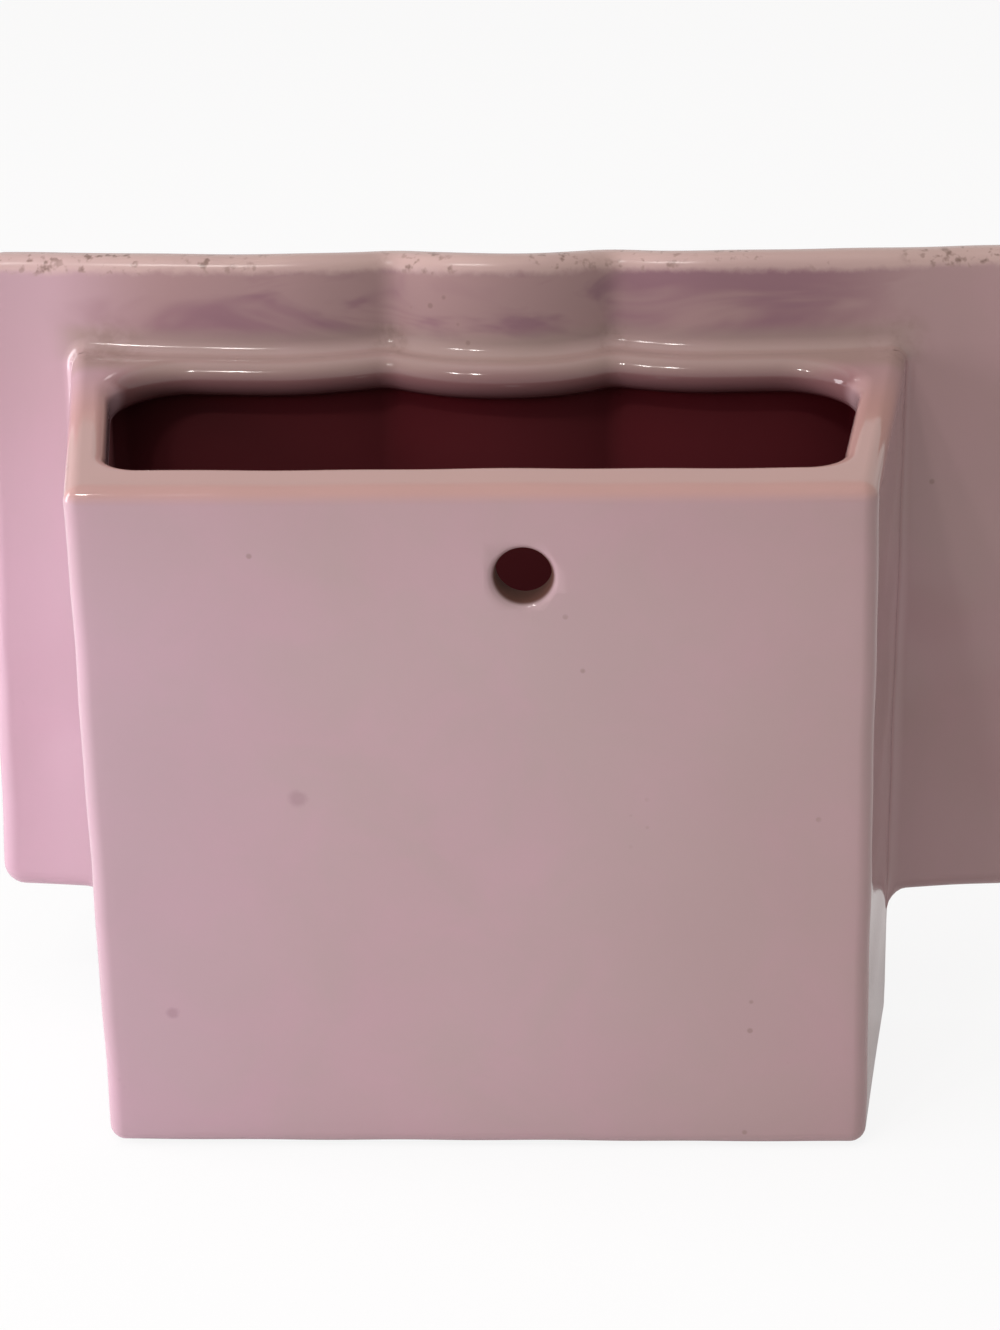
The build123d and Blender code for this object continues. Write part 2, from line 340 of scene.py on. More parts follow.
class RingSteps:
    """How many vertices each run of a ring has, and how many rings each run of the pocket has."""

    front = 190
    front_corner = 12
    side = 22
    back_corner = 12
    back = 64
    foot = 7
    wall = 38
    top_edge = 8
    ledge = 8
    lip = 20
    underside = 4
    hollow = 22
    hollow_foot = 5
    hole = 72


def pocket_outline(form, side_inset, back_inset, back_radius, front, front_radius):
    """The pocket's outline seen from above, inset from its sides and back, up to a line in front."""
    inset = side_inset / cos(form.pocket.flare)
    flare = Vector((-form.flare_slope, 1)).normalized()
    wall = Vector((form.side_at(0) - inset, 0))
    back_corner = Vector((form.side_at(back_inset) - inset, -back_inset))
    back_middle = Vector((0, -back_inset))
    runs, edges = [], []
    for side in (1, -1):
        edge = form.side_at(-front(side * (form.side_at(form.pocket.depth) - inset))) - inset
        for attempt in range(form.rounds):
            base = Vector((edge, front(side * edge)))
            slope = (base.y - front(side * (edge - form.slope_step))) / form.slope_step
            run_in = Vector((1, slope)).normalized()
            corner = base + run_in * ((wall - base).cross(flare) / run_in.cross(flare))
            edge = corner.x - front_radius / tan(half_turn_between(-run_in, flare)) * run_in.x
        front_arc = round_corner(corner - run_in, corner, back_corner, front_radius, RingSteps.front_corner)
        back_arc = round_corner(corner, back_corner, back_middle, back_radius, RingSteps.back_corner)
        run = front_arc[1:]
        run += [front_arc[-1].lerp(back_arc[0], share) for share in shares(RingSteps.side)[1:-1]]
        run += back_arc
        runs.append([Vector((side * place.x, place.y)) for place in run])
        edges.append(side * edge)
    right, left = runs
    line = [slide(edges[1], edges[0], share) for share in shares(RingSteps.front)]
    rear = [right[-1].lerp(left[-1], share) for share in shares(RingSteps.back)[1:-1]]
    return [Vector((beside, front(beside))) for beside in line] + right + rear + left[::-1]


def pocket_rings(form):
    """The pocket's surface as rings, from its foot up its walls, over the ledge and down into the hollow.

    Each ring comes with its share of the painted shade in the hollow. The walls' front edges are sharp,
    because they end inside the panel, and the hollow keeps a thin skin in front of the panel's rear face."""
    pocket, panel = form.pocket, form.panel
    sharp = 0.0002
    skin = 0.00015
    foot_share = 0.75
    shade_from, shade_full_at = 0.0044, 0.0056
    rings = []

    def outer(inset, height):
        over = height - form.floor_level
        sunk = panel.thickness - panel.rim
        # The panel's foot is rounded, so down there the walls' front edges draw back to stay inside it.
        if over < panel.foot:
            sunk = min(sunk, foot_share * sqrt(max(panel.foot ** 2 - (panel.foot - over) ** 2, 0)))
        outline = pocket_outline(form, inset, inset, max(pocket.edge - inset, sharp),
                                 lambda beside: form.front_line(beside, height) - sunk, sharp)
        rings.append(([(place.x, place.y, height) for place in outline], 0))

    def draw_back(level, radius):
        from_face = min(level, pocket.ledge - level)
        return radius - sqrt(radius ** 2 - max(radius - from_face, 0) ** 2)

    def slot(level):
        side_edge = draw_back(min(level, pocket.ledge / 2), pocket.slot_edge)
        back_edge = draw_back(level, pocket.slot_edge)
        lip = pocket.lip_depth - draw_back(level, pocket.ledge / 2) - pocket.depth
        outline = pocket_outline(form, pocket.slot_side - side_edge, pocket.slot_back - back_edge,
                                 pocket.slot_back_corner,
                                 lambda beside: lip + form.flute(beside + panel.off_middle),
                                 pocket.slot_front_corner)
        # Painted shade: it begins part way down the lip's roll and is full further down, towards the
        # hollow.
        painted_shade = eased((level - shade_from) / (shade_full_at - shade_from))
        return [(place.x, place.y, pocket.rim_level - level) for place in outline], painted_shade

    def hollow(inset, height):
        outline = pocket_outline(form, pocket.wall + inset, pocket.wall + inset, pocket.inner_edge,
                                 lambda beside: form.front_line(beside, height) + skin + inset,
                                 pocket.inner_edge)
        # Rings inside the hollow carry the full painted shade.
        return [(place.x, place.y, height) for place in outline], 1

    def blend_to(end, count):
        start = rings[-1]
        for share in shares(count)[1:-1]:
            between = [tuple(Vector(a).lerp(Vector(b), share)) for a, b in zip(start[0], end[0])]
            rings.append((between, slide(start[1], end[1], share)))

    for share in shares(RingSteps.foot):
        turn = share * pi / 2
        outer(pocket.edge * (1 - sin(turn)), form.floor_level + pocket.edge * (1 - cos(turn)))
    wall_top = pocket.rim_level - pocket.edge
    for share in shares(RingSteps.wall)[1:-1]:
        outer(0, slide(form.floor_level + pocket.edge, wall_top, share))
    for share in shares(RingSteps.top_edge):
        turn = share * pi / 2
        outer(pocket.edge * (1 - cos(turn)), wall_top + pocket.edge * sin(turn))
    blend_to(slot(0), RingSteps.ledge)
    rings += [slot(pocket.ledge / 2 * (1 - cos(share * pi))) for share in shares(RingSteps.lip)]

    hollow_top = pocket.rim_level - pocket.ledge - sharp
    hollow_foot = form.floor_level + pocket.wall + pocket.inner_edge
    blend_to(hollow(0, hollow_top), RingSteps.underside)
    rings += [hollow(0, slide(hollow_top, hollow_foot, share)) for share in shares(RingSteps.hollow)]
    for share in shares(RingSteps.hollow_foot)[1:-1]:
        turn = share * pi / 2
        height = hollow_foot - pocket.inner_edge * sin(turn)
        rings.append(hollow(pocket.inner_edge * (1 - cos(turn)), height))
    return [([Vector((pocket.middle + x, y, z)) for x, y, z in ring], painted_shade) for ring, painted_shade in rings]


def deselect_all():
    """Leaves nothing selected, in object mode."""
    if bpy.context.object and bpy.context.object.mode != "OBJECT":
        bpy.ops.object.mode_set(mode="OBJECT")
    bpy.ops.object.select_all(action="DESELECT")


def select_only(piece):
    """Selects one piece and makes it the active one."""
    deselect_all()
    piece.select_set(True)
    bpy.context.view_layer.objects.active = piece


def rings_to_piece(name, rings):
    """A closed piece drawn up ring by ring from a circle: each ring is extruded, then put in its place."""
    deselect_all()
    low, high = (Vector(corner) for corner in cad_box)
    first = rings[0][0]
    bpy.ops.mesh.primitive_circle_add(vertices=len(first), radius=(high - low).x / 2, location=(0, 0, 0))
    piece = bpy.context.object
    piece.name = piece.data.name = name
    bpy.ops.object.mode_set(mode="EDIT")
    mesh = bmesh.from_edit_mesh(piece.data)
    mesh.verts.layers.int.new("place")
    # The hollow layer carries each ring's share of painted shade.
    mesh.verts.layers.float.new("hollow")
    place_of = mesh.verts.layers.int["place"]
    hollow_shade_of = mesh.verts.layers.float["hollow"]
    for number, vertex in enumerate(mesh.verts):
        vertex[place_of] = number

    def put(ring, painted_shade):
        for vertex in mesh.verts:
            if vertex.select:
                vertex.co = ring[vertex[place_of]]
                vertex[hollow_shade_of] = painted_shade

    put(*rings[0])
    bpy.ops.mesh.select_all(action="SELECT")
    for ring in rings[1:]:
        bpy.ops.mesh.extrude_edges_move()
        put(*ring)
    bpy.ops.mesh.edge_face_add()
    bpy.ops.mesh.select_all(action="DESELECT")
    bpy.ops.mesh.select_non_manifold(extend=False)
    bpy.ops.mesh.edge_face_add()
    bpy.ops.mesh.select_all(action="SELECT")
    bpy.ops.mesh.normals_make_consistent(inside=False)
    bpy.ops.object.mode_set(mode="OBJECT")
    return piece


def finish_piece(piece, form, nodes, glaze):
    """Moves the piece's clay by hand, smooths its shading, glazes it, puts it in its body and hides its
    nodes.
    """
    sharpest_smooth_edge = radians(60)
    for vertex in piece.data.vertices:
        vertex.co = form.by_hand(vertex.co)
    select_only(piece)
    bpy.ops.object.shade_smooth_by_angle(angle=sharpest_smooth_edge)
    piece.data.materials.clear()
    piece.data.materials.append(glaze)
    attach(piece, "root")
    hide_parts(*nodes)


def bore(piece, form):
    """Cuts the hanging hole through the back wall, with its edges softened by the glaze.

    Each step of the soft edge says how far it stands out of the wall and how much wider than the hole it
    is, both as shares of the hole edge."""
    pocket = form.pocket
    softened = ((1.0, 3.2), (0.15, 2.0), (-0.25, 1.2), (-0.6, 0.8), (-1.0, 0.45), (-1.6, 0.15), (-2.4, 0.0))
    near = [(out * pocket.hole_edge, pocket.hole + wider * pocket.hole_edge) for out, wider in softened]
    far = [(-pocket.wall - out, radius) for out, radius in reversed(near)]
    turns = [2 * pi * share for share in shares(RingSteps.hole)[:-1]]
    rings = [([Vector((radius * cos(turn), out, radius * sin(turn))) for turn in turns], 0)
             for out, radius in near + far]
    cutter = rings_to_piece("hole_cutter", rings)
    select_only(piece)
    cut = piece.modifiers.new("hole", "BOOLEAN")
    cut.operation = "DIFFERENCE"
    cut.solver = "EXACT"
    cut.object = cutter
    bpy.ops.object.modifier_apply(modifier=cut.name)
    bpy.data.objects.remove(cutter)


class VASE_OT_pocket(bpy.types.Operator):
    """Models the pocket: its walls, floor, ledge with the slot, and hanging hole."""

    bl_idname = "vase.pocket"
    bl_label = "Pocket"

    def execute(self, context):
        form = VaseForm(context.scene)
        pocket = rings_to_piece("pocket", pocket_rings(form))
        bore(pocket, form)
        nodes = ("back_wall", "left_wall", "right_wall", "pocket_floor", "mouth_ledge")
        finish_piece(pocket, form, nodes, pink_glaze(context.scene))
        return {"FINISHED"}


class PlateSteps:
    """How many cells each run of the panel's sheet has."""

    stem = 84
    corner = 3
    wing = 6
    rows = 44
    notch = 3
    stem_rows = 12
    roll = 16


def squircle(across, up):
    """A place in a unit square, moved to its place in a rounded one."""
    return Vector((across * sqrt(1 - up ** 2 / 2), up * sqrt(1 - across ** 2 / 2)))


class PanelSheet:
    """The grid that the panel's two faces are drawn on, and the roll of clay between them."""

    clearance = 0.0006
    rear_part = 0.42
    room_part = 0.58

    def __init__(self, form):
        steps = PlateSteps
        self.form = form
        self.half = steps.stem + steps.notch + steps.wing + steps.corner
        self.wing_row = steps.corner + steps.rows + steps.corner
        self.notch_row = self.wing_row + steps.notch
        self.last_row = self.notch_row + steps.stem_rows

    def kept(self, column, row):
        """Whether a cell, named by its far corner, belongs to the panel."""
        return row <= self.wing_row or abs(column) <= PlateSteps.stem

    def level(self, row):
        """The level along the lean of a row of the sheet, down to the notches."""
        panel, steps = self.form.panel, PlateSteps
        flat = panel.wing_corner - panel.rim
        top = panel.rise - panel.rim
        wing_foot = self.form.wing_level + panel.rim
        if row <= steps.corner:
            return top - flat * row / steps.corner
        if row <= self.wing_row - steps.corner:
            return slide(top - flat, wing_foot + flat, (row - steps.corner) / steps.rows)
        if row <= self.wing_row:
            return wing_foot + flat * (self.wing_row - row) / steps.corner
        fall = panel.notch + panel.rim
        return wing_foot - fall * min(row - self.wing_row, steps.notch) / steps.notch

    def across(self, column, stem):
        """How far from the middle a column of the sheet lies, from where the stem's side is."""
        panel, steps = self.form.panel, PlateSteps
        flat = panel.wing_corner - panel.rim
        wing_end = self.form.tip.x - panel.rim
        if column < steps.stem:
            return (stem - panel.rim - self.clearance) * column / (steps.stem - 1)
        if column <= steps.stem + steps.notch:
            return stem + panel.notch * (column - steps.stem) / steps.notch
        if column <= self.half - steps.corner:
            share = (column - steps.stem - steps.notch) / steps.wing
            return slide(stem + panel.notch, wing_end - flat, share)
        return wing_end - flat * (self.half - column) / steps.corner

    def down_stem(self, row):
        """How far down the stem's side a row lies, as a share; the rows crowd towards the foot."""
        return sin((row - self.notch_row) / PlateSteps.stem_rows * pi / 2)

    def place(self, column, row, under):
        """Where a vertex of the sheet lies on a face, before the rims are rolled.

        It gives the vertex's side, its place, the direction out of the panel's edge there, and the
        radius of the rear rim, which a vertex in the middle of a face has no use for."""
        form, panel, steps = self.form, self.form.panel, PlateSteps
        flat = panel.wing_corner - panel.rim
        side = -1 if column < 0 else 1
        column = abs(column)
        level = self.level(row)
        stem = form.stem_side(side, level, under)
        spot = Vector((self.across(column, stem), level))
        out, rear_roll = Vector((0, 0)), panel.rim
        corner_column = column - (self.half - steps.corner)
        upper = row <= steps.corner
        lower = self.wing_row - steps.corner <= row <= self.wing_row
        if corner_column >= 0 and (upper or lower):
            up = (steps.corner - row if upper else row - self.wing_row + steps.corner) / steps.corner
            bent = squircle(corner_column / steps.corner, up)
            upward = 1 if upper else -1
            bent.y *= upward
            middle = panel.rise - panel.wing_corner if upper else form.wing_level + panel.wing_corner
            spot = Vector((form.tip.x - panel.wing_corner, middle)) + bent * flat
            if corner_column == steps.corner or up == 1:
                out = bent.normalized()
        elif row == 0:
            out = Vector((0, 1))
        elif column == self.half:
            out = Vector((1, 0))
        elif row == self.wing_row and column > steps.stem + steps.notch:
            out = Vector((0, -1))
        elif (row == self.wing_row and column >= steps.stem) or (
                column == steps.stem and self.wing_row < row <= self.notch_row):
            steps_in = row - self.wing_row + steps.stem + steps.notch - column
            turn = steps_in / (2 * steps.notch) * pi / 2
            out = Vector((sin(turn), -cos(turn)))
            rear_roll = panel.rim * cos(turn) ** 2
            stem = form.stem_side(side, form.wing_level - panel.notch, under)
            hub = Vector((stem + panel.notch, form.wing_level - panel.notch))
            spot = hub - out * (panel.notch + (panel.rim if under else rear_roll))
        elif row > self.notch_row:
            foot = panel.foot if under else 0
            start = form.wing_level - panel.notch
            for attempt in range(form.rounds):
                foot_level = form.level_at(spot.x, form.floor_level, under) + foot
                spot.y = slide(start, foot_level, self.down_stem(row))
                stem = form.stem_side(side, spot.y, under)
                spot.x = self.across(column, stem)
                if column == steps.stem:
                    out, rear_roll = Vector((1, 0)), 0
                    spot.x = stem - (panel.rim if under else 0)
        return side, spot, out, rear_roll

    def face(self, column, row, under):
        """A vertex on one of the panel's two faces."""
        side, spot, *_ = self.place(column, row, under)
        return self.form.on_panel(side * spot.x, spot.y, under)

    def roll(self, share, rear):
        """How far a share of the roll lies under the rear face, and how far in from the edge."""
        panel = self.form.panel
        if share <= self.rear_part:
            turn = share / self.rear_part * pi / 2
            return rear * (1 - cos(turn)), rear * (1 - sin(turn))
        if share >= self.room_part:
            turn = (share - self.room_part) / (1 - self.room_part) * pi / 2
            return panel.thickness - panel.rim * (1 - sin(turn)), panel.rim * (1 - cos(turn))
        flat_share = (share - self.rear_part) / (self.room_part - self.rear_part)
        return slide(rear, panel.thickness - panel.rim, flat_share), 0

    def rolled(self, column, row, share):
        """A vertex on the roll between the rear rim, at share 0, and the room rim, at share 1."""
        form, panel = self.form, self.form.panel
        if row > self.notch_row:
            return self.rolled_stem(column, row, share)
        side, spot, out, rear = self.place(column, row, 0)
        room_spot = self.place(column, row, panel.thickness)[1]
        under, inset = self.roll(share, rear)
        edge = (spot + out * rear).lerp(room_spot + out * panel.rim, under / panel.thickness)
        spot = edge - out * inset
        return form.on_panel(side * spot.x, spot.y, under)

    def rolled_stem(self, column, row, share):
        """A vertex on the roll down the stem's side, which widens into the roll under its foot."""
        form, panel = self.form, self.form.panel
        side = -1 if column < 0 else 1
        down = self.down_stem(row)
        turn = share * pi / 2
        under = self.roll(share, 0)[0]
        if share:
            under = slide(under, slide(panel.thickness - panel.foot, panel.thickness, sin(turn)), down)
        past_side = max(under - (panel.thickness - panel.rim), 0)
        side_inset = panel.rim - sqrt(max(panel.rim ** 2 - past_side ** 2, 0))
        start = form.wing_level - panel.notch
        across, level = form.tip.x, -form.panel_drop
        for attempt in range(form.rounds):
            stem = form.stem_side(side, level, under)
            across = stem - side_inset if abs(column) == PlateSteps.stem else self.across(abs(column), stem)
            foot_level = form.level_at(across, form.floor_level, under) + panel.foot * (1 - cos(turn))
            level = slide(start, foot_level, down)
        return form.on_panel(side * across, level, under)


class VASE_OT_panel(bpy.types.Operator):
    """Models the fluted panel with its wings and stem."""

    bl_idname = "vase.panel"
    bl_label = "Panel"

    def execute(self, context):
        form = VaseForm(context.scene)
        sheet = PanelSheet(form)
        thickness = form.panel.thickness
        merge_distance = 0.00005
        deselect_all()
        columns, rows = 2 * sheet.half, sheet.last_row
        bpy.ops.mesh.primitive_grid_add(x_subdivisions=columns, y_subdivisions=rows, size=2,
                                        location=(0, 0, 0))
        piece = context.object
        piece.name = piece.data.name = "panel"
        bpy.ops.object.mode_set(mode="EDIT")
        mesh = bmesh.from_edit_mesh(piece.data)
        for name in ("column", "row"):
            mesh.verts.layers.int.new(name)
        mesh.verts.layers.float.new("room_side")
        column_of, row_of = mesh.verts.layers.int["column"], mesh.verts.layers.int["row"]
        room_side_of = mesh.verts.layers.float["room_side"]
        # The grid reaches from -1 to 1 both ways, so each vertex knows its column and row by its place.
        for vertex in mesh.verts:
            vertex[column_of] = round((vertex.co.x + 1) / 2 * columns) - sheet.half
            vertex[row_of] = round((1 - vertex.co.y) / 2 * rows)
        for patch in mesh.faces:
            column = max(abs(vertex[column_of]) for vertex in patch.verts)
            row = max(vertex[row_of] for vertex in patch.verts)
            patch.select = not sheet.kept(column, row)
        bmesh.update_edit_mesh(piece.data)
        bpy.ops.mesh.delete(type="FACE")
        for vertex in mesh.verts:
            vertex.co = sheet.face(vertex[column_of], vertex[row_of], 0)
        bpy.ops.mesh.select_all(action="SELECT")
        bpy.ops.mesh.duplicate()
        for vertex in mesh.verts:
            if vertex.select:
                vertex.co = sheet.face(vertex[column_of], vertex[row_of], thickness)
                vertex[room_side_of] = 1
        bpy.ops.mesh.hide(unselected=False)
        bpy.ops.mesh.select_non_manifold(extend=False)
        for share in shares(PlateSteps.roll)[1:]:
            bpy.ops.mesh.extrude_edges_move()
            for vertex in mesh.verts:
                if vertex.select and not vertex.hide:
                    vertex.co = sheet.rolled(vertex[column_of], vertex[row_of], share)
                    vertex[room_side_of] = share
        bpy.ops.mesh.reveal(select=False)
        for vertex in mesh.verts:
            vertex.co = form.tucked(vertex.co)
        bpy.ops.mesh.select_all(action="SELECT")
        bpy.ops.mesh.remove_doubles(threshold=merge_distance)
        bpy.ops.mesh.normals_make_consistent(inside=False)
        bpy.ops.object.mode_set(mode="OBJECT")
        finish_piece(piece, form, ("front_panel",), pink_glaze(context.scene))
        return {"FINISHED"}


class VASE_OT_coves(bpy.types.Operator):
    """Models the clay smoothed into the corner between the pocket and the panel, in one run."""

    bl_idname = "vase.coves"
    bl_label = "Coves"

    side_stations = 60
    edge_stations = 10
    ledge_stations = 200
    ring_steps = 10
    buried_steps = 3
    sunk = 0.0007
    foot_share = 0.06
    over_end = 0.06

    def side_run(self, form, side):
        """Places up one side of the pocket and over its edge, and the way that the pocket looks there."""
        pocket = form.pocket
        flare = Vector((side * cos(pocket.flare), sin(pocket.flare), 0))
        upright = Vector((0, 0, 1))
        run = []
        top = form.level_at(form.stem_side(side, 0), pocket.rim_level - pocket.edge)
        for share in shares(self.side_stations):
            level = slide(form.wing_level - form.panel.rim, top, share)
            run.append((side * form.stem_side(side, level), level, flare))
        for share in shares(self.edge_stations)[1:]:
            turn = share * pi / 2
            across = form.stem_side(side, top) - pocket.edge * (1 - cos(turn))
            level = form.level_at(across, pocket.rim_level - pocket.edge * (1 - sin(turn)))
            run.append((side * across, level, (flare * cos(turn) + upright * sin(turn)).normalized()))
        return run

    def stations(self, form):
        """Places along the whole corner, up one side, along the ledge and down the other side."""
        right, left = self.side_run(form, 1), self.side_run(form, -1)
        ledge = []
        for share in shares(self.ledge_stations)[1:-1]:
            across = slide(right[-1][0], left[-1][0], share)
            ledge.append((across, form.level_at(across, form.pocket.rim_level), Vector((0, 0, 1))))
        return right + ledge + left[::-1]

    def execute(self, context):
        form = VaseForm(context.scene)
        panel = form.panel
        end_level = form.wing_level - panel.rim
        rings = []
        for across, level, pocket_out in self.stations(form):
            corner = form.on_panel(across, level)
            plate_out = form.panel_normal(across)
            radius = panel.cove * slide(self.foot_share, 1, eased((level - end_level) / panel.cove_fade))
            centre = corner + (pocket_out + plate_out) * radius / (1 + pocket_out.dot(plate_out))
            inward = -(pocket_out + plate_out).normalized()
            ring = []
            for share in shares(self.ring_steps):
                lean = pocket_out.slerp(plate_out, slide(-self.over_end, 1 + self.over_end, share))
                ring.append(centre - lean * radius)
            start, end = ring[-1], ring[0]
            for share in shares(self.buried_steps):
                depth = self.sunk + radius * sin(share * pi) / 2
                ring.append(start.lerp(end, share) + inward * depth)
            rings.append((ring, 0))
        piece = rings_to_piece("corner_coves", rings)
        nodes = ("ledge_joint_coil", "left_joint_coil", "right_joint_coil")
        finish_piece(piece, form, nodes, pink_glaze(context.scene))
        return {"FINISHED"}


class Link:
    """A socket of a material, on which plain arithmetic adds Math nodes."""

    def __init__(self, shader, socket):
        self.shader = shader
        self.socket = socket

    def worked(self, operation, *values, clamp=False):
        settings = {"operation": operation, "use_clamp": clamp}
        return self.shader.node("ShaderNodeMath", settings, dict(enumerate(values)))[0]

    def __add__(self, other):
        return self.worked("ADD", self, other)

    def __sub__(self, other):
        return self.worked("SUBTRACT", self, other)

    def __mul__(self, other):
        return self.worked("MULTIPLY", self, other)

    def __rsub__(self, other):
        return self.worked("SUBTRACT", other, self)

    def __abs__(self):
        return self.worked("ABSOLUTE", self)

    __radd__ = __add__
    __rmul__ = __mul__

    def clamped(self):
        return self.worked("ADD", self, 0.0, clamp=True)

    def ramp(self, start, end):
        """A smooth climb from 0 at start to 1 at end, or a fall where end comes first."""
        settings = {"interpolation_type": "SMOOTHSTEP"}
        low, high = min(start, end), max(start, end)
        values = {"Value": self, "From Min": low, "From Max": high}
        climbed = self.shader.node("ShaderNodeMapRange", settings, values)["Result"]
        return climbed if start < end else 1 - climbed


class Shader:
    """A material or world under construction."""

    def __init__(self, owner):
        owner.use_nodes = True
        self.owner = owner
        self.nodes = owner.node_tree.nodes
        self.links = owner.node_tree.links
        self.nodes.clear()

    def node(self, kind, settings=None, values=None):
        """A node's outputs: its settings are set first, then the values and links of its sockets."""
        made = self.nodes.new(kind)
        for name, value in (settings or {}).items():
            setattr(made, name, value)
        for name, value in (values or {}).items():
            self.feed(made.inputs[name], value)
        return Sockets(self, made)

    def feed(self, socket, value):
        if isinstance(value, Link):
            self.links.new(value.socket, socket)
        elif socket.type == "RGBA":
            socket.default_value = (*value, 1.0)
        else:
            socket.default_value = value

    def mixed(self, share, start, end):
        """A colour the share of the way from start to end.

        A Mix node has sockets for every kind of data: the numbers here are those for colours."""
        settings = {"data_type": "RGBA", "clamp_factor": True}
        return self.node("ShaderNodeMix", settings, {0: share, 6: start, 7: end})[2]

    def vector(self, operation, *values, output="Vector"):
        """A Vector Math node's result."""
        return self.node("ShaderNodeVectorMath", {"operation": operation}, dict(enumerate(values)))[output]

    def clouds(self, where, scale, detail=3.0, roughness=0.5, distortion=0.0):
        """Soft cloudy noise from 0 to 1, with a number of clouds to the metre."""
        values = {"Vector": where, "Scale": scale, "Detail": detail, "Roughness": roughness,
                  "Distortion": distortion}
        return self.node("ShaderNodeTexNoise", {}, values)["Fac"]

    def attribute(self, name):
        """A number stored on the piece's vertices, which is 0 where a piece has none."""
        return self.node("ShaderNodeAttribute", {"attribute_name": name})["Fac"]


class Sockets:
    """The outputs of a node, by name or number."""

    def __init__(self, shader, node):
        self.shader = shader
        self.made = node

    def __getitem__(self, name):
        return Link(self.shader, self.made.outputs[name])


class GlazePlaces:
    """Where the glaze changes, in metres: where each change starts, and where it is full.

    Across is from the panel's middle, and past is beyond the pocket's front corners. A level goes along the
    panel's lean and a height straight up, both from the ledge's top. A depth is along Y."""

    # The lilac is painted light towards the wing on the left.
    lilac_light_across = (0.010, 0.085)
    # The mauve is painted shade: towards the wing on the right, up the panel's lean, and above the ledge.
    mauve_shade_across = (0.010, -0.075)
    mauve_shade_level = (-0.040, 0.004)
    above_height = (0.0, 0.003)
    above_past = (0.006, -0.018)
    ledge_height = (-0.0026, -0.0006)
    ledge_depth = (-0.052, -0.030)
    # The lip marks paint shade down the lip's roll.
    lip_top = (0.0004, -0.0014)
    lip_foot = (-0.0080, -0.0060)
    lip_depth = (-0.0440, -0.0470)
    lip_past = (-0.004, -0.010)
    cove_top = (0.0046, 0.0018)
    cove_foot = (-0.0030, -0.0010)
    cove_depth = (-0.0475, -0.0530)
    cove_past = (0.004, -0.002)
    worn_level = (-0.0004, 0.0010)
    worn_rims = 1.25
    worn_waver = 0.0016
    bare_edge = (0.0006, 0.0001)
    bare_depth = (-0.0078, -0.0060)
    # How far from a crease or a front corner a stain lies, and how far it reaches.
    crease_stain = ((0, 0.0008, 0.0006), 0.0042)
    corner_stain = ((-0.004, 0.0028, 0), 0.0075)
    stain_core = 0.3
    # Each smudge's place on the back, and how far it reaches.
    smudges = (((0.0340, 0.0, -0.0354), 0.0019), ((0.0546, 0.0, -0.0718), 0.0013))
    smudge_core = 0.35
    smudge_waver = 0.0012


class GlazeGrain:
    """The clouds and specks in the glaze, and the greys at which a change starts and is full."""

    broad = {"scale": 13.0, "detail": 2.0}
    middling = {"scale": 60.0, "detail": 4.0, "roughness": 0.6, "distortion": 0.6}
    fine = {"scale": 420.0, "detail": 4.0, "roughness": 0.6}
    drawn_out = {"scale": 75.0, "detail": 3.0, "roughness": 0.55, "distortion": 0.8}
    drawn = (0.42, 1.0, 1.5)
    crumbs = {"scale": 620.0, "detail": 2.0}
    patches = {"scale": 70.0, "detail": 2.0}
    pit_patches = {"scale": 45.0, "detail": 1.0}
    wave = {"scale": 28.0, "detail": 2.0}
    pits_to_the_metre = 260.0
    even = 0.5

    grey = (0.36, 0.64)
    cloud_and_shade = (0.42, 0.62)
    stain = (0.40, 0.62)
    fleck = (0.54, 0.70)
    fleck_patch = (0.44, 0.60)
    pit = (0.15, 0.07)
    pit_patch = (0.64, 0.70)


class GlazeShares:
    """How strongly each change shows in the glaze's colour."""

    grey = 0.7
    lilac_light = 0.55
    mauve_shade_across = 0.42
    mauve_shade_level = 0.34
    mauve_shade_above = 0.80
    cloud_and_shade = 0.85
    ledge = 0.75
    lip = 0.95
    cove = 0.45
    cove_cloud = 0.5
    worn = 0.75
    corner_stain = 0.6
    stain_crumbs = 0.4
    stain = 0.5
    fleck = 0.75
    pit = 0.35
    smudge = 0.32
    bare = 0.92


class GlazeRelief:
    """How far each grain lifts the glaze, or a speck lowers it, and how strongly that shows."""

    wave = 0.25
    middling = 0.08
    fine = 0.015
    fleck = 0.06
    stain = 0.04
    strength = 0.18
    distance = 0.002


class GlazeRoughness:
    """The roughness of the clean glaze, and what each change adds to it."""

    clean = 0.07
    worn = 0.16
    cove = 0.06
    fine = 0.03
    bare = 0.85
    hollow = 0.8


